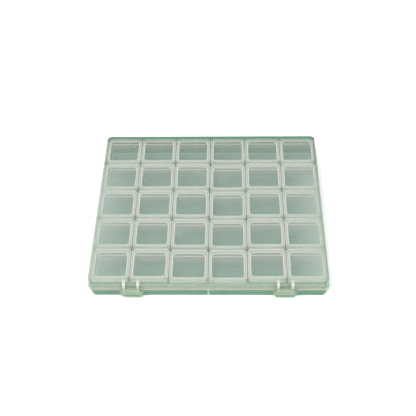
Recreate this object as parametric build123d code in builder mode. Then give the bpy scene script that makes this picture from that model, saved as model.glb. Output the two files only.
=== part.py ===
from build123d import *
import os

# Clear plastic sorting case. A shallow case with a hinged lid and two front latches holds a grid of
# small loose boxes, and each small box is a tub with its own hinged cover.
#
# Sizes are in millimetres. The origin is in the middle of the case's underside, X runs along the
# front, Y runs from the front to the hinged back, and Z is up. Row 1 of the boxes is at the back,
# and column 1 is at the left as seen from the front.

# Grid of small boxes: some have slid forward in the case's spare depth, keyed by column and row
COLUMNS = 6
ROWS = 5
GAP_X = 0.8
GAP_Y = 0.9
SLID_FORWARD = {(4, 2): 1.5, (4, 3): 1.8, (4, 4): 1.7, (4, 5): 1.6, (3, 4): 0.5, (3, 5): 1.3}

# Tub of a small box
TUB_WIDTH = 31.6
TUB_DEPTH = 25.9
TUB_HEIGHT = 18.8
TUB_WALL = 1.0
TUB_FLOOR = 1.2
TUB_CORNER = 2.1
TUB_DRAFT = 1.0
TUB_FLOOR_ROUND = 0.9

# Cover of a small box
COVER_WALL = 1.0
COVER_PLATE = 1.1
COVER_SKIRT = 3.9
COVER_CLEARANCE = 0.3
COVER_SEAT_GAP = 0.2
COVER_EDGE_ROUND = 0.35
THUMB_LIP = 0.9
THUMB_LIP_SPAN = 24.0
WINDOW_SIDE = 2.8
WINDOW_FRONT = 3.0
WINDOW_BACK = 5.4
WINDOW_CORNER = 2.6
WINDOW_RECESS = 0.35

# Hinge of a small box: two cheeks on the tub hold the stub pins of the cover's two ears
HINGE_SETBACK = 1.9
HINGE_DEPTH = 2.7
COVER_TAIL = 4.1
CHEEK_RADIUS = 1.35
COVER_EAR_RADIUS = 2.0
STUB_RADIUS = 0.6
STUB_CLEARANCE = 0.06
STUB_SHORT = 0.1

# Case base
BASE_FLOOR = 1.4
BASE_WALL = 1.2
BASE_HEIGHT = 12.0
BASE_DRAFT = 4.5
BASE_BOTTOM_ROUND = 1.0
RIM_REACH = 1.2
RIM_THICKNESS = 1.2
LIP_HEIGHT = 2.2
LIP_WALL = 1.0
LIP_CLEARANCE = 0.4
DIVIDER_THICKNESS = 1.6

# Case lid
ROOM_SIDE = 0.5
ROOM_BACK = 0.3
ROOM_FRONT = 2.2
HEADROOM = 1.0
LID_WALL = 1.2
LID_PLATE = 1.2
LID_DRAFT = 2.5
LID_CORNER = 3.3
LID_TOP_ROUND = 0.8
LID_BEAD = 0.4
LID_BEAD_HEIGHT = 1.3
LID_SEAT_GAP = 0.15

# Case hinge: two stations, each with a lid knuckle between two base lugs
HINGE_SPACING = 136.0
KNUCKLE_RADIUS = 2.3
KNUCKLE_LENGTH = 16.0
KNUCKLE_STANDOFF = 0.3
KNUCKLE_SIDE_GAP = 0.3
LUG_WIDTH = 3.2
CASE_STUB_RADIUS = 1.1
CASE_STUB_CLEARANCE = 0.08

# Latch hinge: two ribs on the lid's front run down into the latch's ears
LATCH_SPACING = 136.0
EAR_SPACING = 12.5
EAR_THICKNESS = 2.4
EAR_RADIUS = 1.9
EAR_RISE = 1.6
RIB_REACH = 0.9
RIB_TOP_SETBACK = 1.2
LATCH_KNUCKLE_RADIUS = 1.5
LATCH_STUB_RADIUS = 0.8
LATCH_STUB_CLEARANCE = 0.06
LATCH_SIDE_GAP = 0.25

# Latch tab
LATCH_GAP = 0.5
LATCH_PLATE = 1.4
LATCH_SHOULDER = 2.3
LATCH_WING_DROP = 0.4
LATCH_TOP_WIDTH = 21.6
LATCH_BOTTOM_WIDTH = 19.0
LATCH_LENGTH = 9.2
LATCH_CORNER = 1.2
PANEL_WIDTH = 13.8
PANEL_MARGIN = 1.0
PANEL_RECESS = 0.45
GRIP_RIDGES = 2
GRIP_RIDGE_HEIGHT = 0.6
LATCH_LIP = 1.0
LATCH_LIP_HEIGHT = 1.2
HOOK_WIDTH = 13.0
HOOK_HEIGHT = 1.5
HOOK_BITE = 0.7
HOOK_GAP = 0.3


# Places worked out from the sizes above
def run_out(height, draft):
    # How far a wall that leans by the draft angle moves over a height
    return height * tan_of(draft)


def tan_of(degrees):
    slope = Vector(1, 0, 0).rotate(Axis.Z, degrees)
    return slope.Y / slope.X


# Small box in its own frame: x and y from the tub's centre, z from its underside
hinge_y = TUB_DEPTH / 2 + HINGE_SETBACK
cover_top = TUB_HEIGHT + COVER_SEAT_GAP + COVER_PLATE
cover_underside = TUB_HEIGHT + COVER_SEAT_GAP
skirt_bottom = cover_underside - COVER_SKIRT
hinge_z = cover_top - HINGE_DEPTH
cover_back = hinge_y + COVER_TAIL
cover_front = -(TUB_DEPTH / 2 + COVER_CLEARANCE + COVER_WALL)
cover_width = TUB_WIDTH + 2 * (COVER_CLEARANCE + COVER_WALL)
cover_depth = cover_back - cover_front
cover_middle = (cover_back + cover_front) / 2
cover_corner = TUB_CORNER + COVER_CLEARANCE + COVER_WALL

# Grid of small boxes
pitch_x = cover_width + GAP_X
pitch_y = cover_depth + THUMB_LIP + GAP_Y
grid_width = COLUMNS * pitch_x - GAP_X
grid_depth = ROWS * pitch_y - GAP_Y

# Case heights
case_height = BASE_FLOOR + cover_top + HEADROOM + LID_PLATE
lid_rim_z = BASE_HEIGHT + LID_SEAT_GAP
lid_ceiling = case_height - LID_PLATE
wall_top_z = BASE_HEIGHT - RIM_THICKNESS

# Case widths and depths at the lid's ceiling, at its rim and down the base
lid_inner_width = grid_width + 2 * ROOM_SIDE
lid_inner_depth = grid_depth + ROOM_BACK + ROOM_FRONT
lid_lean = 2 * run_out(lid_ceiling - lid_rim_z, LID_DRAFT)
rim_inner_width = lid_inner_width + lid_lean
rim_inner_depth = lid_inner_depth + lid_lean
lid_face_width = rim_inner_width + 2 * LID_WALL
lid_face_depth = rim_inner_depth + 2 * LID_WALL
case_width = lid_face_width + 2 * LID_BEAD
case_depth = lid_face_depth + 2 * LID_BEAD
base_top_width = case_width - 2 * RIM_REACH
base_top_depth = case_depth - 2 * RIM_REACH
rim_corner = LID_CORNER + LID_WALL + LID_BEAD
lid_outer_lean = 2 * run_out(case_height - lid_rim_z, LID_DRAFT)

# First tub's place, at the back left
first_x = -(COLUMNS - 1) * pitch_x / 2
first_y = lid_inner_depth / 2 - ROOM_BACK - cover_back

# Case hinge axis and latch hinge axis
case_hinge_y = case_depth / 2 + KNUCKLE_STANDOFF + KNUCKLE_RADIUS
case_hinge_z = BASE_HEIGHT
latch_back_y = -case_depth / 2 - LATCH_GAP
latch_hinge_y = latch_back_y - LATCH_PLATE
latch_hinge_z = BASE_HEIGHT + EAR_RISE
latch_bottom_z = latch_hinge_z - LATCH_LENGTH


def leaning_block(low_plane, high_plane, low_size, high_size, corner, edge_round=0, round_top=False):
    # Block with leaning sides between two rounded rectangles, with its foot or its top rounded
    with BuildPart(mode=Mode.PRIVATE) as block:
        with BuildSketch(low_plane):
            RectangleRounded(low_size[0], low_size[1], corner)
        with BuildSketch(high_plane):
            RectangleRounded(high_size[0], high_size[1], corner)
        loft(ruled=True)
        if edge_round > 0:
            end = -1 if round_top else 0
            fillet(block.edges().group_by(Axis.Z)[end], edge_round)
    return block.part


def small_box_place(column, row):
    # Middle of a tub's underside, in the case
    x = first_x + (column - 1) * pitch_x
    y = first_y - (row - 1) * pitch_y - SLID_FORWARD.get((column, row), 0)
    return Vector(x, y, BASE_FLOOR)


def save(builder, name):
    builder.part.label = name
    export_step(builder.part, f"parts/{name}.step")


# Small tub, standing at the origin: an open box with leaning walls and two hinge cheeks
def build_tub():
    lean = 2 * run_out(TUB_HEIGHT, TUB_DRAFT)
    inner_lean = 2 * run_out(TUB_HEIGHT - TUB_FLOOR, TUB_DRAFT)
    inner_width = TUB_WIDTH - 2 * TUB_WALL
    inner_depth = TUB_DEPTH - 2 * TUB_WALL
    body = leaning_block(
        Plane.XY,
        Plane.XY.offset(TUB_HEIGHT),
        (TUB_WIDTH - lean, TUB_DEPTH - lean),
        (TUB_WIDTH, TUB_DEPTH),
        TUB_CORNER,
    )
    hollow = leaning_block(
        Plane.XY.offset(TUB_FLOOR),
        Plane.XY.offset(TUB_HEIGHT),
        (inner_width - inner_lean, inner_depth - inner_lean),
        (inner_width, inner_depth),
        TUB_CORNER - TUB_WALL,
        TUB_FLOOR_ROUND,
    )
    cheek_x = TUB_WIDTH / 2 - TUB_WALL
    root_y = TUB_DEPTH / 2 - TUB_CORNER - TUB_WALL
    root_z = hinge_z - CHEEK_RADIUS - (hinge_y - root_y)
    with BuildPart() as tub:
        add(body)
        add(hollow, mode=Mode.SUBTRACT)
        # Cheeks: the side walls run back past the corners, to the hinge
        for side in (-1, 1):
            with BuildSketch(Plane.YZ.offset(side * cheek_x)):
                with BuildLine():
                    Polyline(
                        (root_y, hinge_z + CHEEK_RADIUS),
                        (hinge_y, hinge_z + CHEEK_RADIUS),
                        (hinge_y, hinge_z - CHEEK_RADIUS),
                        (root_y, root_z),
                        close=True,
                    )
                make_face()
                with Locations((hinge_y, hinge_z)):
                    Circle(CHEEK_RADIUS)
                    Circle(STUB_RADIUS + STUB_CLEARANCE, mode=Mode.SUBTRACT)
            extrude(amount=side * TUB_WALL)
    return tub


# Small cover, over a tub at the origin: a plate with a recessed window, a skirt on three sides, and
# an ear with a stub pin at each side of the back
def build_cover():
    outline_plane = Plane((0, cover_middle, cover_underside))
    skirt_plane = Plane((0, cover_middle, skirt_bottom))
    lip_half = THUMB_LIP_SPAN / 2
    front = -cover_depth / 2
    window_y = (WINDOW_FRONT - WINDOW_BACK) / 2
    stub_root = cover_width / 2 - COVER_WALL / 2
    stub_length = COVER_WALL / 2 + COVER_CLEARANCE + TUB_WALL - STUB_SHORT
    with BuildPart() as cover:
        with BuildSketch(skirt_plane):
            RectangleRounded(cover_width, cover_depth, cover_corner)
            RectangleRounded(
                cover_width - 2 * COVER_WALL,
                cover_depth - 2 * COVER_WALL,
                cover_corner - COVER_WALL,
                mode=Mode.SUBTRACT,
            )
        extrude(amount=COVER_SKIRT)
        # Behind the hinge the skirt ends in two round ears
        with BuildSketch(Plane.YZ):
            with Locations((hinge_y, skirt_bottom)):
                Rectangle(2 * COVER_TAIL, COVER_SKIRT, align=(Align.MIN, Align.MIN))
            with Locations((hinge_y, hinge_z)):
                Circle(COVER_EAR_RADIUS, mode=Mode.SUBTRACT)
        extrude(amount=cover_width, both=True, mode=Mode.SUBTRACT)
        # Plate with the bowed front edge
        with BuildSketch(outline_plane):
            RectangleRounded(cover_width, cover_depth, cover_corner)
            with BuildLine():
                Line((-lip_half, front), (lip_half, front))
                ThreePointArc((-lip_half, front), (0, front - THUMB_LIP), (lip_half, front))
            make_face()
        plate = extrude(amount=COVER_PLATE)
        fillet(plate.faces().sort_by(Axis.Z)[-1].outer_wire().edges(), COVER_EDGE_ROUND)
        with BuildSketch(outline_plane.offset(COVER_PLATE)):
            with Locations((0, window_y)):
                RectangleRounded(
                    cover_width - 2 * WINDOW_SIDE,
                    cover_depth - WINDOW_FRONT - WINDOW_BACK,
                    WINDOW_CORNER,
                )
        extrude(amount=-WINDOW_RECESS, mode=Mode.SUBTRACT)
        # Stub pins point inwards from the ears
        for side in (-1, 1):
            with BuildSketch(Plane.YZ.offset(side * stub_root)):
                with Locations((hinge_y, hinge_z)):
                    Circle(STUB_RADIUS)
            extrude(amount=-side * stub_length)
    return cover


os.makedirs("parts", exist_ok=True)

# Small boxes. The last two columns' tubs share a node in each row but the front one, as two solids
tub_shape = build_tub().part
cover_shape = build_cover().part
for row in range(1, ROWS + 1):
    for column in range(1, COLUMNS + 1):
        with BuildPart(Plane(small_box_place(column, row))) as cover:
            add(cover_shape)
        save(cover, f"cover_r{row}_c{column}")
    paired = [COLUMNS - 1, COLUMNS] if row < ROWS else []
    single = [column for column in range(1, COLUMNS + 1) if column not in paired]
    for column in single:
        with BuildPart(Plane(small_box_place(column, row))) as tub:
            add(tub_shape)
        save(tub, f"tub_r{row}_c{column}")
    if paired:
        with BuildPart(*[Plane(small_box_place(column, row)) for column in paired]) as tub_pair:
            add(tub_shape)
        save(tub_pair, f"tubs_r{row}_c{paired[0]}_c{paired[-1]}")

# Case base: tray with leaning walls, an out-turned rim, a raised lip, a divider and the hinge lugs
base_lean = 2 * run_out(wall_top_z, BASE_DRAFT)
wall_corner = rim_corner - RIM_REACH
lip_width = rim_inner_width - 2 * LIP_CLEARANCE
lip_depth = rim_inner_depth - 2 * LIP_CLEARANCE
lip_corner = LID_CORNER - LIP_CLEARANCE
tray_lean = 2 * run_out(wall_top_z - BASE_FLOOR, BASE_DRAFT)
tray_width = base_top_width - 2 * BASE_WALL
tray_depth = base_top_depth - 2 * BASE_WALL
tray_corner = wall_corner - BASE_WALL
with BuildPart() as case_base:
    add(
        leaning_block(
            Plane.XY,
            Plane.XY.offset(wall_top_z),
            (base_top_width - base_lean, base_top_depth - base_lean),
            (base_top_width, base_top_depth),
            wall_corner,
            BASE_BOTTOM_ROUND,
        )
    )
    # Rim, and the lip that the lid drops over
    with BuildSketch(Plane.XY.offset(wall_top_z)):
        RectangleRounded(case_width, case_depth, rim_corner)
    extrude(amount=RIM_THICKNESS)
    with BuildSketch(Plane.XY.offset(BASE_HEIGHT)):
        RectangleRounded(lip_width, lip_depth, lip_corner)
    extrude(amount=LIP_HEIGHT)
    # Inside of the tray, then the narrower mouth within the lip
    add(
        leaning_block(
            Plane.XY.offset(BASE_FLOOR),
            Plane.XY.offset(wall_top_z),
            (tray_width - tray_lean, tray_depth - tray_lean),
            (tray_width, tray_depth),
            tray_corner,
        ),
        mode=Mode.SUBTRACT,
    )
    with BuildSketch(Plane.XY.offset(wall_top_z)):
        RectangleRounded(lip_width - 2 * LIP_WALL, lip_depth - 2 * LIP_WALL, lip_corner - LIP_WALL)
    extrude(amount=RIM_THICKNESS + LIP_HEIGHT, mode=Mode.SUBTRACT)
    # Divider between the two middle columns, from the front wall to the back wall
    divider_length = base_top_depth - BASE_WALL
    with BuildSketch(Plane.XY.offset(BASE_FLOOR)):
        Rectangle(DIVIDER_THICKNESS, tray_depth - tray_lean)
    extrude(amount=BASE_HEIGHT - BASE_FLOOR)
    with BuildSketch(Plane.XY.offset(wall_top_z)):
        Rectangle(DIVIDER_THICKNESS, divider_length)
    extrude(amount=RIM_THICKNESS)
    # Hinge lugs, each side of the lid's knuckles
    lug_inner = KNUCKLE_LENGTH / 2 + KNUCKLE_SIDE_GAP
    lug_root = base_top_depth / 2 - BASE_WALL / 2
    for station in (-1, 1):
        for side in (-1, 1):
            lug_x = station * HINGE_SPACING / 2 + side * lug_inner
            with BuildSketch(Plane.YZ.offset(lug_x)):
                with BuildLine():
                    Polyline(
                        (lug_root, BASE_HEIGHT),
                        (case_hinge_y, case_hinge_z),
                        (case_hinge_y, case_hinge_z - KNUCKLE_RADIUS),
                        (lug_root, wall_top_z - 2 * KNUCKLE_RADIUS),
                        close=True,
                    )
                make_face()
                with Locations((case_hinge_y, case_hinge_z)):
                    Circle(KNUCKLE_RADIUS)
                    Circle(CASE_STUB_RADIUS + CASE_STUB_CLEARANCE, mode=Mode.SUBTRACT)
            extrude(amount=side * LUG_WIDTH)
save(case_base, "case_base")

# Case lid: a shallow cover with a beaded edge, hinge knuckles at the back and latch ears in front
lid_outer_size = (lid_face_width - lid_outer_lean, lid_face_depth - lid_outer_lean)
lid_face_corner = LID_CORNER + LID_WALL
with BuildPart() as case_lid:
    add(
        leaning_block(
            Plane.XY.offset(lid_rim_z),
            Plane.XY.offset(case_height),
            (lid_face_width, lid_face_depth),
            lid_outer_size,
            lid_face_corner,
            LID_TOP_ROUND,
            round_top=True,
        )
    )
    with BuildSketch(Plane.XY.offset(lid_rim_z)):
        RectangleRounded(case_width, case_depth, rim_corner)
    extrude(amount=LID_BEAD_HEIGHT)
    # Latch ears: a rib runs from the top edge down the front face and ends round the latch's stubs
    rib_foot = -rim_inner_depth / 2 - LID_WALL / 2
    rib_top_y = -lid_outer_size[1] / 2 - RIB_REACH
    rib_top_z = case_height - RIB_TOP_SETBACK
    for latch_side in (-1, 1):
        for side in (-1, 1):
            ear_x = latch_side * LATCH_SPACING / 2 + side * EAR_SPACING / 2
            with BuildSketch(Plane.YZ.offset(ear_x)):
                with BuildLine():
                    Polyline(
                        (rib_foot, lid_rim_z),
                        (rib_foot, rib_top_z),
                        (rib_top_y, rib_top_z),
                        (latch_hinge_y - EAR_RADIUS, latch_hinge_z),
                        (latch_hinge_y, lid_rim_z),
                        close=True,
                    )
                make_face()
                with Locations((latch_hinge_y, latch_hinge_z)):
                    Circle(EAR_RADIUS)
                    Circle(LATCH_STUB_RADIUS + LATCH_STUB_CLEARANCE, mode=Mode.SUBTRACT)
            extrude(amount=EAR_THICKNESS / 2, both=True)
    # Hinge knuckles with an arm to the lid's back face
    arm_root = case_depth / 2 - LID_BEAD - LID_WALL / 2
    for station in (-1, 1):
        knuckle_plane = Plane.YZ.offset(station * HINGE_SPACING / 2)
        with BuildSketch(knuckle_plane):
            with Locations((case_hinge_y, case_hinge_z)):
                Circle(KNUCKLE_RADIUS)
            with BuildLine():
                Polyline(
                    (arm_root, lid_rim_z),
                    (case_hinge_y, lid_rim_z),
                    (case_hinge_y, case_hinge_z + KNUCKLE_RADIUS),
                    (arm_root, case_hinge_z + KNUCKLE_RADIUS),
                    close=True,
                )
            make_face()
        extrude(amount=KNUCKLE_LENGTH / 2, both=True)
        with BuildSketch(knuckle_plane):
            with Locations((case_hinge_y, case_hinge_z)):
                Circle(CASE_STUB_RADIUS)
        extrude(amount=KNUCKLE_LENGTH / 2 + KNUCKLE_SIDE_GAP + LUG_WIDTH, both=True)
    # Inside of the lid
    add(
        leaning_block(
            Plane.XY.offset(lid_rim_z),
            Plane.XY.offset(lid_ceiling),
            (rim_inner_width, rim_inner_depth),
            (lid_inner_width, lid_inner_depth),
            LID_CORNER,
        ),
        mode=Mode.SUBTRACT,
    )
save(case_lid, "case_lid")

# Front latches: a knuckle with two stubs, a neck between the ears, and a tapered tab with a hook
neck_width = EAR_SPACING - EAR_THICKNESS - 2 * LATCH_SIDE_GAP
ears_width = EAR_SPACING + EAR_THICKNESS + 2 * LATCH_SIDE_GAP
tab_top_z = latch_hinge_z - LATCH_SHOULDER
wing_top_z = latch_hinge_z - LATCH_WING_DROP
panel_top_z = tab_top_z - PANEL_MARGIN
panel_bottom_z = latch_bottom_z + LATCH_LIP_HEIGHT + PANEL_MARGIN / 2
hook_top_z = wall_top_z - HOOK_GAP
ridge_step = (panel_top_z - panel_bottom_z) / (GRIP_RIDGES + 1)
for latch_side, name in ((-1, "latch_left"), (1, "latch_right")):
    latch_x = latch_side * LATCH_SPACING / 2
    with BuildPart() as latch:
        front_plane = Plane((latch_x, latch_hinge_y, 0), x_dir=(1, 0, 0), z_dir=(0, -1, 0))
        with BuildSketch(front_plane):
            with BuildLine():
                Polyline(
                    (-LATCH_TOP_WIDTH / 2, wing_top_z),
                    (LATCH_TOP_WIDTH / 2, wing_top_z),
                    (LATCH_BOTTOM_WIDTH / 2, latch_bottom_z),
                    (-LATCH_BOTTOM_WIDTH / 2, latch_bottom_z),
                    close=True,
                )
            tab = make_face()
            fillet(tab.vertices().group_by(Axis.Y)[0], LATCH_CORNER)
            # Room for the ears, so that the tab rises beside them in two wings
            with Locations((0, tab_top_z)):
                Rectangle(
                    ears_width,
                    LATCH_SHOULDER - LATCH_WING_DROP,
                    align=(Align.CENTER, Align.MIN),
                    mode=Mode.SUBTRACT,
                )
        extrude(amount=-LATCH_PLATE)
        with BuildSketch(front_plane):
            with Locations((0, tab_top_z)):
                Rectangle(neck_width, LATCH_SHOULDER, align=(Align.CENTER, Align.MIN))
        extrude(amount=-LATCH_PLATE)
        # Recessed panel with grip ridges, and the lip below it
        with BuildSketch(front_plane):
            with Locations((0, panel_bottom_z)):
                Rectangle(PANEL_WIDTH, panel_top_z - panel_bottom_z, align=(Align.CENTER, Align.MIN))
            for ridge in range(1, GRIP_RIDGES + 1):
                with Locations((0, panel_bottom_z + ridge * ridge_step)):
                    Rectangle(PANEL_WIDTH, GRIP_RIDGE_HEIGHT, mode=Mode.SUBTRACT)
        extrude(amount=-PANEL_RECESS, mode=Mode.SUBTRACT)
        with BuildSketch(front_plane):
            with Locations((0, latch_bottom_z)):
                Rectangle(
                    LATCH_BOTTOM_WIDTH - 2 * LATCH_CORNER,
                    LATCH_LIP_HEIGHT,
                    align=(Align.CENTER, Align.MIN),
                )
        extrude(amount=LATCH_LIP)
        # Hook that holds the base's rim from below
        hook_plane = Plane((latch_x, latch_back_y, 0), x_dir=(1, 0, 0), z_dir=(0, -1, 0))
        with BuildSketch(hook_plane):
            with Locations((0, hook_top_z)):
                Rectangle(HOOK_WIDTH, HOOK_HEIGHT, align=(Align.CENTER, Align.MAX))
        extrude(amount=-(LATCH_GAP + HOOK_BITE))
        # Knuckle and stubs
        pin_plane = Plane((latch_x, latch_hinge_y, latch_hinge_z), x_dir=(0, 1, 0), z_dir=(1, 0, 0))
        with BuildSketch(pin_plane):
            Circle(LATCH_KNUCKLE_RADIUS)
        extrude(amount=neck_width / 2, both=True)
        with BuildSketch(pin_plane):
            Circle(LATCH_STUB_RADIUS)
        extrude(amount=EAR_SPACING / 2 + EAR_THICKNESS / 2, both=True)
    save(latch, name)
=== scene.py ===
# Clear green sorting case with thirty small flip-top boxes, seen closed from the front and above.

import bpy
import math
from mathutils import Matrix, Vector


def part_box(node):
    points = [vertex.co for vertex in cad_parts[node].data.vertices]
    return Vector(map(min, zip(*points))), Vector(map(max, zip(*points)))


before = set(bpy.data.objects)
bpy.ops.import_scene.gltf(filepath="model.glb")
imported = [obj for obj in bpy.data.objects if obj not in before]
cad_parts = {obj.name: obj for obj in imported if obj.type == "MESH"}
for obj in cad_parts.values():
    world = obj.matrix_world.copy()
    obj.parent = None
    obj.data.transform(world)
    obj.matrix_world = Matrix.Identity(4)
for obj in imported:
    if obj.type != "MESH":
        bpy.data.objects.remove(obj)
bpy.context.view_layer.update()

# Camera: it looks down at the latched front edge, a little from the right, from about 0.7 m away.
# Its height, turn and roll follow the photograph.
MM = 0.001
VIEW_ELEVATION = math.radians(50.6)
VIEW_TURN = math.radians(2.4)
VIEW_ROLL = math.radians(1.93)
VIEW_DISTANCE = 713 * MM
VIEW_AIM = Vector((-1.8, 7.9, 6.5)) * MM
VIEW_LENS = 63.2
turn = Matrix.Rotation(VIEW_TURN, 3, "Z")
forward = turn @ Vector((0, math.cos(VIEW_ELEVATION), -math.sin(VIEW_ELEVATION)))
level_right = turn @ Vector((1, 0, 0))
level_up = turn @ Vector((0, math.sin(VIEW_ELEVATION), math.cos(VIEW_ELEVATION)))
right = level_right * math.cos(VIEW_ROLL) - level_up * math.sin(VIEW_ROLL)
up = level_right * math.sin(VIEW_ROLL) + level_up * math.cos(VIEW_ROLL)
camera_data = bpy.data.cameras.new("camera")
camera_data.lens = VIEW_LENS
camera = bpy.data.objects.new("camera", camera_data)
bpy.context.scene.collection.objects.link(camera)
camera_turn = Matrix((right, up, -forward)).transposed().to_4x4()
camera.matrix_world = Matrix.Translation(VIEW_AIM - forward * VIEW_DISTANCE) @ camera_turn
bpy.context.scene.camera = camera
bpy.context.scene.view_settings.view_transform = "Standard"

# Studio light: one wide soft lamp above the front left, weaker ones at the right and behind, and an
# even sky that looks white. A line of sight may pass all the clear faces of a row of small boxes.
LAMPS = (
    # Name, place in metres, width in metres and power in watts
    ("key_lamp", (-0.5, -0.6, 1.25), 1.1, 19.0),
    ("fill_lamp", (0.9, -0.7, 0.8), 0.9, 7.0),
    ("back_lamp", (0.1, 1.4, 0.5), 1.0, 2.5),
)
WHITE = (1, 1, 1, 1)
SKY_STRENGTH = 0.62
SEEN_SKY_STRENGTH = 1.0
MOST_CLEAR_FACES = 64
for name, place, width, power in LAMPS:
    lamp_data = bpy.data.lights.new(name, "AREA")
    lamp_data.shape = "DISK"
    lamp_data.size = width
    lamp_data.energy = power
    lamp = bpy.data.objects.new(name, lamp_data)
    lamp.location = place
    lamp.rotation_euler = (-Vector(place)).to_track_quat("-Z", "Y").to_euler()
    bpy.context.scene.collection.objects.link(lamp)
sky = bpy.data.worlds.new("sky")
sky.use_nodes = True
light_path = sky.node_tree.nodes.new("ShaderNodeLightPath")
strength = sky.node_tree.nodes.new("ShaderNodeMapRange")
strength.inputs["To Min"].default_value = SKY_STRENGTH
strength.inputs["To Max"].default_value = SEEN_SKY_STRENGTH
backdrop = sky.node_tree.nodes["Background"]
backdrop.inputs["Color"].default_value = WHITE
sky.node_tree.links.new(light_path.outputs["Is Camera Ray"], strength.inputs["Value"])
sky.node_tree.links.new(strength.outputs["Result"], backdrop.inputs["Strength"])
bpy.context.scene.world = sky
bpy.context.scene.cycles.transparent_max_bounces = MOST_CLEAR_FACES

# Table: a plain white board, a hair below the case so that the two share no face. It glows just
# enough to show white, and it keeps the case's soft shadow.
TABLE_HALF = 1.5
TABLE_TOP = -0.15 * MM
TABLE_CORNERS = ((-1, -1), (1, -1), (1, 1), (-1, 1))
TABLE_WHITE = (0.93, 0.93, 0.93, 1)
TABLE_ROUGHNESS = 0.9
TABLE_SHINE = 0.1
TABLE_GLOW = 0.12
table_mesh = bpy.data.meshes.new("table")
table_mesh.from_pydata(
    [(x * TABLE_HALF, y * TABLE_HALF, TABLE_TOP) for x, y in TABLE_CORNERS],
    [],
    [tuple(range(len(TABLE_CORNERS)))],
)
table = bpy.data.objects.new("table", table_mesh)
bpy.context.scene.collection.objects.link(table)
table_finish = bpy.data.materials.new("table_white")
table_finish.use_nodes = True
board = table_finish.node_tree.nodes["Principled BSDF"]
board.inputs["Base Color"].default_value = TABLE_WHITE
board.inputs["Roughness"].default_value = TABLE_ROUGHNESS
board.inputs["Specular IOR Level"].default_value = TABLE_SHINE
board.inputs["Emission Color"].default_value = WHITE
board.inputs["Emission Strength"].default_value = TABLE_GLOW
table.data.materials.append(table_finish)

# Case base: one clear polypropylene moulding, faintly green. Its walls lean out to a turned-out
# rim, where the lid drops over a low lip. Thick edges look greener than thin faces, and the end of
# the divider shows as a pale line in the front wall.
PLASTIC_IOR = 1.5
COAT_ROUGHNESS = 0.06
CLOUD_DETAIL = 2.0
# The sockets of a Mix node that hold its factor and colours, by number because their names repeat
MIX_FACTOR, MIX_FIRST, MIX_SECOND, MIX_RESULT = 0, 6, 7, 2


class Value:
    # One output of a shader node. A sum, difference or product adds the Math nodes for it.

    def __init__(self, tree, output):
        self.tree = tree
        self.output = output

    def node(self, kind, settings=None, inputs=None, output=0):
        # A new node: its settings first, then a number, colour or link for each input
        made = self.tree.nodes.new(kind)
        for name, setting in (settings or {}).items():
            setattr(made, name, setting)
        for place, source in (inputs or {}).items():
            if isinstance(source, Value):
                self.tree.links.new(source.output, made.inputs[place])
            else:
                made.inputs[place].default_value = source
        return Value(self.tree, made.outputs[output])

    def maths(self, operation, *others):
        # This value first, and the others after it
        values = dict(enumerate((self, *others)))
        return self.node("ShaderNodeMath", {"operation": operation}, values)

    def __add__(self, other):
        return self.maths("ADD", other)

    def __sub__(self, other):
        return self.maths("SUBTRACT", other)

    def __rsub__(self, other):
        return self.node("ShaderNodeMath", {"operation": "SUBTRACT"}, {0: other, 1: self})

    def __mul__(self, other):
        return self.maths("MULTIPLY", other)

    __radd__ = __add__
    __rmul__ = __mul__

    def __abs__(self):
        return self.maths("ABSOLUTE")

    def above(self, level, width):
        # 0 below the level and 1 above it, with a soft step of the given width
        step = {"From Min": level - width / 2, "From Max": level + width / 2}
        smooth = {"interpolation_type": "SMOOTHSTEP"}
        return self.node("ShaderNodeMapRange", smooth, {"Value": self, **step})

    def below(self, level, width):
        return 1 - self.above(level, width)

    def band(self, low, high, width):
        # 1 between two levels and 0 outside them
        return self.above(low, width) - self.above(high, width)

    def tint(self, low, high):
        # The colour low where this value is 0, and high where it is 1
        sides = {MIX_FACTOR: self}
        for place, colour in ((MIX_FIRST, low), (MIX_SECOND, high)):
            sides[place] = colour if isinstance(colour, Value) else tuple(colour) + (1,)
        return self.node("ShaderNodeMix", {"data_type": "RGBA"}, sides, output=MIX_RESULT)


def clear_plastic(name, roughness, coat):
    # A glossy moulded plastic, with the place on the piece and the way its surface faces
    material = bpy.data.materials.new(name)
    material.use_nodes = True
    tree = material.node_tree
    shader = tree.nodes["Principled BSDF"]
    shader.inputs["IOR"].default_value = PLASTIC_IOR
    shader.inputs["Roughness"].default_value = roughness
    shader.inputs["Coat Weight"].default_value = coat
    shader.inputs["Coat Roughness"].default_value = COAT_ROUGHNESS
    place = Value(tree, tree.nodes.new("ShaderNodeTexCoord").outputs["Object"])
    facing = place.node("ShaderNodeTexCoord", output="Normal")
    return material, place, facing


def axes(value):
    # The x, y and z of a place or a direction
    return [value.node("ShaderNodeSeparateXYZ", inputs={0: value}, output=name) for name in "XYZ"]


def cloud(place, per_metre, detail=CLOUD_DETAIL):
    # Soft random patches from 0 to 1
    return place.node(
        "ShaderNodeTexNoise", inputs={"Vector": place, "Scale": per_metre, "Detail": detail}
    )


def finish(material, colour, solid, ripple, ripple_height):
    # Gives the plastic its colour, how solid it looks, and the slight ripple of its skin
    tree = material.node_tree
    shader = tree.nodes["Principled BSDF"]
    tree.links.new(colour.output, shader.inputs["Base Color"])
    tree.links.new(solid.output, shader.inputs["Alpha"])
    bump = ripple.node("ShaderNodeBump", inputs={"Distance": ripple_height, "Height": ripple})
    tree.links.new(bump.output, shader.inputs["Normal"])
    return material


def dress(node, material):
    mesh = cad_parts[node].data
    mesh.materials.clear()
    mesh.materials.append(material)


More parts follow.
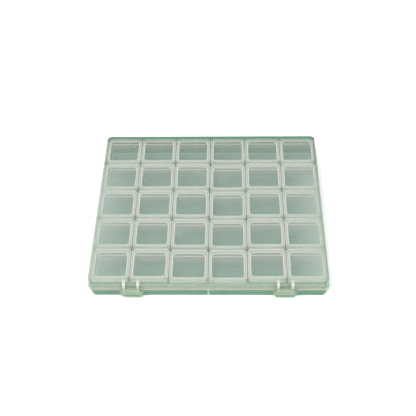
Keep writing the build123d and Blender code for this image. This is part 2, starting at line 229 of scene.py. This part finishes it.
# Where each finish begins or ends: one or two levels, and the width of the soft step there
FACING_UP = (0.95, 0.04)
FACING_DOWN = (-0.9, 0.1)
BASE_RIM = (10.8 * MM, 12.3 * MM, 0.1 * MM)
BASE_BACK_WALL = (86.5 * MM, 1.0 * MM)
BASE_FRONT_WALL = (-86.0 * MM, 0.2 * MM)
DIVIDER_HALF = (0.75 * MM, 0.4 * MM)
BASE_LOW_EDGE = (2.2 * MM, 3.0 * MM)
BASE_UNDERSIDE = (0.2 * MM, 0.1 * MM)
BASE_FLOOR = (1.5 * MM, 0.1 * MM)
BASE_FLOOR_GREEN = (0.14, 0.44, 0.28)
BASE_WALL_GREEN = (0.10, 0.26, 0.15)
BASE_EDGE_GREEN = (0.04, 0.13, 0.07)
BASE_RIM_GREEN = (0.15, 0.28, 0.18)
BASE_DIVIDER_PALE = (0.46, 0.52, 0.40)
# How solid a face looks, from 0 to 1, and how much more solid each of these places is
BASE_SOLID = 0.5
BASE_RIM_SOLID = 0.2
BASE_EDGE_SOLID = 0.4
BASE_UNDER_SOLID = 0.34
BASE_BACK_SOLID = 0.15
BASE_HAZE_SOLID = 0.06
BASE_ROUGHNESS = 0.22
BASE_COAT = 0.4
BASE_HAZE_PER_METRE = 70
BASE_RIPPLES_PER_METRE = 260
BASE_RIPPLE = 0.02 * MM
base_plastic, place, facing = clear_plastic("base_plastic", BASE_ROUGHNESS, BASE_COAT)
x, y, z = axes(place)
_, _, face_up = axes(facing)
back_wall = y.above(*BASE_BACK_WALL)
rim = z.band(*BASE_RIM) * (1 - back_wall)
divider_end = abs(x).below(*DIVIDER_HALF) * y.below(*BASE_FRONT_WALL)
under = face_up.below(*FACING_DOWN)
low_edge = z.below(*BASE_LOW_EDGE) * (1 - under) * (1 - back_wall)
floor_under = under * z.below(*BASE_UNDERSIDE)
# The floor's upper face is left fully clear: its underside alone gives the colour
floor_top = face_up.above(*FACING_UP) * z.below(*BASE_FLOOR)
base_green = floor_under.tint(BASE_WALL_GREEN, BASE_FLOOR_GREEN)
base_green = rim.tint(low_edge.tint(base_green, BASE_EDGE_GREEN), BASE_RIM_GREEN)
base_solid = (
    BASE_SOLID
    + rim * BASE_RIM_SOLID
    + low_edge * BASE_EDGE_SOLID
    + floor_under * BASE_UNDER_SOLID
    + back_wall * BASE_BACK_SOLID
    + cloud(place, BASE_HAZE_PER_METRE) * BASE_HAZE_SOLID
)
finish(
    base_plastic,
    divider_end.tint(base_green, BASE_DIVIDER_PALE),
    base_solid * (1 - floor_top),
    cloud(place, BASE_RIPPLES_PER_METRE),
    BASE_RIPPLE,
)
dress("case_base", base_plastic)

# Small tubs: thirty clear open boxes with leaning walls, thin enough to look almost colourless.
# They stand loose on the case's floor. Their rims catch the light, which is painted on them as a
# pale highlight, and their floors look greener.
TUB_RIM = (19.5 * MM, 0.3 * MM)
TUB_FLOOR = (2.9 * MM, 0.5 * MM)
TUB_UNDERSIDE = (1.5 * MM, 0.1 * MM)
TUB_WALL_PALE = (0.50, 0.57, 0.52)
# The rims' pale colour and extra solidity are a painted highlight
TUB_RIM_HIGHLIGHT = (0.66, 0.68, 0.61)
TUB_FLOOR_GREEN = (0.33, 0.47, 0.40)
TUB_SOLID = 0.1
TUB_RIM_HIGHLIGHT_SOLID = 0.4
TUB_FLOOR_SOLID = 0.14
TUB_HAZE_SOLID = 0.03
TUB_ROUGHNESS = 0.2
TUB_COAT = 0.4
TUB_HAZE_PER_METRE = 120
TUB_RIPPLES_PER_METRE = 300
TUB_RIPPLE = 0.015 * MM
tub_plastic, place, facing = clear_plastic("tub_plastic", TUB_ROUGHNESS, TUB_COAT)
x, y, z = axes(place)
_, _, face_up = axes(facing)
# The band at the top of the rims, painted pale as a highlight
tub_rim_highlight = z.above(*TUB_RIM)
tub_floor = z.below(*TUB_FLOOR)
# The underside lies on the case's floor and is left fully clear, as that floor's upper face is
tub_under = face_up.below(*FACING_DOWN) * z.below(*TUB_UNDERSIDE)
tub_solid = (
    TUB_SOLID
    + tub_rim_highlight * TUB_RIM_HIGHLIGHT_SOLID
    + tub_floor * TUB_FLOOR_SOLID
    + cloud(place, TUB_HAZE_PER_METRE) * TUB_HAZE_SOLID
)
finish(
    tub_plastic,
    tub_rim_highlight.tint(tub_floor.tint(TUB_WALL_PALE, TUB_FLOOR_GREEN), TUB_RIM_HIGHLIGHT),
    tub_solid * (1 - tub_under),
    cloud(place, TUB_RIPPLES_PER_METRE),
    TUB_RIPPLE,
)
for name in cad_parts:
    if name.startswith("tub"):
        dress(name, tub_plastic)

# Small covers: one to a tub, on two stub pins that snap into it at the back. Each is moulded with a
# broad, finely frosted border round a clear window that lies a little deeper. The border's inner
# edge, its outer edges at the sides and back, and the skirt below it catch the light, which is
# painted on them as pale highlights.
COVER_ROWS, COVER_COLUMNS = 5, 6
COVER_PITCH = 35 * MM
COVER_PLATE = (20.3 * MM, 0.1 * MM)
FROST_FROM_SIDE = 2.8 * MM
FROST_FROM_FRONT = 3.9 * MM
FROST_FROM_BACK = 4.2 * MM
FROST_CORNER = 3.2 * MM
FROST_STEP = 0.15 * MM
LINE_WIDTH = 0.55 * MM
LINE_STEP = 0.3 * MM
# Each window is painted paler and a little more solid towards its back, over a soft step
PALE_FROM_BACK = 12.5 * MM
PALE_STEP = 2.0 * MM
COVER_WINDOW_GREEN = (0.38, 0.54, 0.47)
COVER_BORDER_PALE = (0.57, 0.595, 0.535)
# Painted highlights: the pale lines at the border's edges and the pale skirt
COVER_LINE_HIGHLIGHT = (0.78, 0.77, 0.70)
COVER_SKIRT_HIGHLIGHT = (0.76, 0.78, 0.72)
COVER_SOLID = 0.06
COVER_SKIRT_HIGHLIGHT_SOLID = 0.4
COVER_BORDER_SOLID = 0.28
COVER_BACK_PALE_SOLID = 0.03
COVER_LINE_HIGHLIGHT_SOLID = 0.28
COVER_FROST_SOLID = 0.04
COVER_ROUGHNESS = 0.24
COVER_COAT = 0.35
FROST_PER_METRE = 150
COVER_RIPPLE = 0.015 * MM


def outside(away_x, away_y, half_x, half_y, corner):
    # How far a place lies outside a rounded oblong, from its distances to the oblong's middle lines
    past_x = (away_x - (half_x - corner)).maths("MAXIMUM", 0.0)
    past_y = (away_y - (half_y - corner)).maths("MAXIMUM", 0.0)
    return (past_x * past_x + past_y * past_y).maths("SQRT") - corner


def cover_plastic(name, low, high):
    # The finish of the cover between these corners, and of each one that stands whole pitches away
    material, place, _ = clear_plastic(name, COVER_ROUGHNESS, COVER_COAT)
    x, y, z = axes(place)
    middle_x = (low.x + high.x) / 2
    window_front = low.y + FROST_FROM_FRONT
    window_back = high.y - FROST_FROM_BACK
    window_middle = (window_front + window_back) / 2
    half_x = (high.x - low.x) / 2
    half_y = (window_back - window_front) / 2
    back_edge = half_y + FROST_FROM_BACK
    away_x = (x - middle_x).maths("PINGPONG", COVER_PITCH / 2)
    away_y = (y - window_middle).maths("PINGPONG", COVER_PITCH / 2)
    along_y = (y - window_middle).maths("WRAP", COVER_PITCH / 2, -COVER_PITCH / 2)
    past_window = outside(away_x, away_y, half_x - FROST_FROM_SIDE, half_y, FROST_CORNER)
    plate = z.above(*COVER_PLATE)
    border = past_window.above(0.0, FROST_STEP) * plate
    # Painted highlights along the border's inner edge and its outer edges at the sides and back
    inner_highlight = past_window.band(0.0, LINE_WIDTH, LINE_STEP) * plate
    side_highlight = away_x.above(half_x - LINE_WIDTH, LINE_STEP)
    back_highlight = along_y.above(back_edge - LINE_WIDTH, LINE_STEP)
    outer_highlight = side_highlight.maths("MAXIMUM", back_highlight) * plate
    # The back part of each window, painted paler
    window_back_pale = along_y.above(back_edge - PALE_FROM_BACK, PALE_STEP) * plate * (1 - border)
    frost = cloud(place, FROST_PER_METRE)
    window = window_back_pale.tint(COVER_WINDOW_GREEN, COVER_BORDER_PALE)
    # The skirt below the plate is painted pale as a highlight
    face = plate.tint(COVER_SKIRT_HIGHLIGHT, border.tint(window, COVER_BORDER_PALE))
    solid = (
        COVER_SOLID
        + (1 - plate) * COVER_SKIRT_HIGHLIGHT_SOLID
        + border * COVER_BORDER_SOLID
        + window_back_pale * COVER_BACK_PALE_SOLID
        + inner_highlight * COVER_LINE_HIGHLIGHT_SOLID
        + outer_highlight * COVER_LINE_HIGHLIGHT_SOLID
        + frost * COVER_FROST_SOLID
    )
    highlight_lines = inner_highlight.maths("MAXIMUM", outer_highlight)
    return finish(material, highlight_lines.tint(face, COVER_LINE_HIGHLIGHT), solid, frost, COVER_RIPPLE)


covers = [
    f"cover_r{row}_c{column}"
    for row in range(1, COVER_ROWS + 1)
    for column in range(1, COVER_COLUMNS + 1)
]
_, first_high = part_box(covers[0])
cover_finishes = {}
for name in covers:
    # Covers that slid forward by the same distance, to a tenth of a millimetre, share a finish
    low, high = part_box(name)
    row = round((first_high.y - high.y) / COVER_PITCH)
    slid = round((first_high.y - high.y - row * COVER_PITCH) / MM, 1)
    if slid not in cover_finishes:
        label = f"cover_plastic_{len(cover_finishes) + 1}"
        cover_finishes[slid] = cover_plastic(label, low, high)
    dress(name, cover_finishes[slid])

# Case lid: one thin clear moulding, hinged along the back. Its flat top is hard to see, but for a
# haze towards the sides and a few scuffs. Its leaning walls look green, with a darker band of
# painted shade along their shoulders, and the bead along its lower edge and the two ribs over each
# latch catch the light, which is painted on them as pale highlights.
LID_TOP_FACING = (0.9, 0.1)
LID_TOP = (22.0 * MM, 0.2 * MM)
LID_BACK_WALL = (86.2 * MM, 1.5 * MM)
LID_SIDE_WALL = (104 * MM, 1.0 * MM)
LID_FRONT_FACE = (-87.2 * MM, 0.2 * MM)
LID_SHOULDER = (20.0 * MM, 22.5 * MM, 0.8 * MM)
LID_BEAD = (13.45 * MM, 0.2 * MM)
LATCH_FROM_MIDDLE = 68 * MM
RIB_FROM_LATCH = 6.25 * MM
RIB_HALF = (1.25 * MM, 0.1 * MM)
RIB_HIGHLIGHT_PART = (17.5 * MM, 1.0 * MM)
SIDE_HAZE = (92 * MM, 44 * MM)
SIDE_HAZE_BACK_END = (45 * MM, 60 * MM)
SCUFFS = (0.66, 0.06)
LID_TOP_CLEAR = (0.56, 0.64, 0.57)
LID_FRONT_GREEN = (0.50, 0.59, 0.47)
LID_SIDE_GREEN = (0.24, 0.46, 0.29)
LID_BACK_GREEN = (0.07, 0.29, 0.15)
# A painted shade: the darker green band along the walls' shoulders
LID_SHOULDER_SHADE = (0.16, 0.30, 0.19)
# Painted highlights: the pale bead and the pale ribs over the latches
LID_BEAD_HIGHLIGHT = (0.54, 0.58, 0.48)
LID_RIB_HIGHLIGHT = (0.64, 0.65, 0.55)
LID_SOLID = 0.035
LID_WALL_SOLID = 0.2
LID_BACK_SOLID = 0.5
LID_SIDE_SOLID = 0.35
LID_SHOULDER_SHADE_SOLID = 0.2
LID_BEAD_HIGHLIGHT_SOLID = 0.2
LID_RIB_HIGHLIGHT_SOLID = 0.25
SIDE_HAZE_SOLID = 0.22
SCUFF_SOLID = 0.04
LID_HAZE_SOLID = 0.03
LID_ROUGHNESS = 0.16
LID_COAT = 0.6
SCUFFS_PER_METRE = 45
SCUFF_DETAIL = 6.0
LID_HAZE_PER_METRE = 60
LID_RIPPLES_PER_METRE = 180
LID_RIPPLE = 0.02 * MM
lid_plastic, place, facing = clear_plastic("lid_plastic", LID_ROUGHNESS, LID_COAT)
x, y, z = axes(place)
_, _, face_up = axes(facing)
lid_top = abs(face_up).above(*LID_TOP_FACING) * z.above(*LID_TOP)
lid_wall = 1 - lid_top
lid_back = y.above(*LID_BACK_WALL)
lid_side = abs(x).above(*LID_SIDE_WALL) * lid_wall * (1 - lid_back)
# A band of painted shade along the walls' shoulders, under the top edge
shoulder_shade = z.band(*LID_SHOULDER) * lid_wall
# The bead and the upper part of the ribs are painted pale as highlights
bead_highlight = z.below(*LID_BEAD) * (1 - lid_back)
from_rib = abs(abs(x) - LATCH_FROM_MIDDLE) - RIB_FROM_LATCH
rib_highlights = abs(from_rib).below(*RIB_HALF) * y.below(*LID_FRONT_FACE) * z.above(*RIB_HIGHLIGHT_PART)
side_haze = abs(x).above(*SIDE_HAZE) * y.below(*SIDE_HAZE_BACK_END) * lid_top
scuffs = cloud(place, SCUFFS_PER_METRE, SCUFF_DETAIL).above(*SCUFFS) * lid_top
wall_green = lid_back.tint(lid_side.tint(LID_FRONT_GREEN, LID_SIDE_GREEN), LID_BACK_GREEN)
lid_green = (lid_wall + lid_back * lid_top).tint(LID_TOP_CLEAR, wall_green)
lid_green = bead_highlight.tint(shoulder_shade.tint(lid_green, LID_SHOULDER_SHADE), LID_BEAD_HIGHLIGHT)
lid_solid = (
    LID_SOLID
    + lid_wall * LID_WALL_SOLID
    + lid_back * LID_BACK_SOLID
    + lid_side * LID_SIDE_SOLID
    + shoulder_shade * LID_SHOULDER_SHADE_SOLID
    + bead_highlight * LID_BEAD_HIGHLIGHT_SOLID
    + rib_highlights * LID_RIB_HIGHLIGHT_SOLID
    + side_haze * SIDE_HAZE_SOLID
    + scuffs * SCUFF_SOLID
    + cloud(place, LID_HAZE_PER_METRE) * LID_HAZE_SOLID
)
finish(
    lid_plastic,
    rib_highlights.tint(lid_green, LID_RIB_HIGHLIGHT),
    lid_solid,
    cloud(place, LID_RIPPLES_PER_METRE),
    LID_RIPPLE,
)
dress("case_lid", lid_plastic)

# Front latches: two clear tabs that swing on moulded pins between the lid's ears and hook under the
# rim. Each has a sunk grip panel with ridges, and a lip at the bottom that is thick enough to look
# green. The lower ridge and the neck above the panel catch the light, which is painted on them as
# pale highlights.
LATCH_LIP = (5.8 * MM, 0.5 * MM)
GRIP_HALF = (7.2 * MM, 0.4 * MM)
GRIP_RIDGE = (7.1 * MM, 8.5 * MM, 0.5 * MM)
GRIP_NECK = (11.5 * MM, 12.9 * MM, 0.5 * MM)
LATCH_SIDE_GREEN = (0.27, 0.43, 0.29)
LATCH_GRIP_GREEN = (0.36, 0.44, 0.34)
# A painted highlight on the lower ridge and on the neck above the grip panel
LATCH_EDGE_HIGHLIGHT = (0.54, 0.64, 0.49)
LATCH_LIP_GREEN = (0.16, 0.33, 0.17)
LATCH_SOLID = 0.36
LATCH_LIP_SOLID = 0.2
LATCH_EDGE_HIGHLIGHT_SOLID = 0.1
LATCH_HAZE_SOLID = 0.06
LATCH_ROUGHNESS = 0.22
LATCH_COAT = 0.4
LATCH_HAZE_PER_METRE = 120
LATCH_RIPPLES_PER_METRE = 300
LATCH_RIPPLE = 0.015 * MM
latch_plastic, place, _ = clear_plastic("latch_plastic", LATCH_ROUGHNESS, LATCH_COAT)
x, y, z = axes(place)
grip = abs(abs(x) - LATCH_FROM_MIDDLE).below(*GRIP_HALF)
# The lower ridge and the neck, painted pale as highlights
grip_highlights = grip * (z.band(*GRIP_RIDGE) + z.band(*GRIP_NECK))
latch_lip = z.below(*LATCH_LIP)
latch_green = grip_highlights.tint(grip.tint(LATCH_SIDE_GREEN, LATCH_GRIP_GREEN), LATCH_EDGE_HIGHLIGHT)
latch_solid = (
    LATCH_SOLID
    + latch_lip * LATCH_LIP_SOLID
    + grip_highlights * LATCH_EDGE_HIGHLIGHT_SOLID
    + cloud(place, LATCH_HAZE_PER_METRE) * LATCH_HAZE_SOLID
)
finish(
    latch_plastic,
    latch_lip.tint(latch_green, LATCH_LIP_GREEN),
    latch_solid,
    cloud(place, LATCH_RIPPLES_PER_METRE),
    LATCH_RIPPLE,
)
for name in ("latch_left", "latch_right"):
    dress(name, latch_plastic)
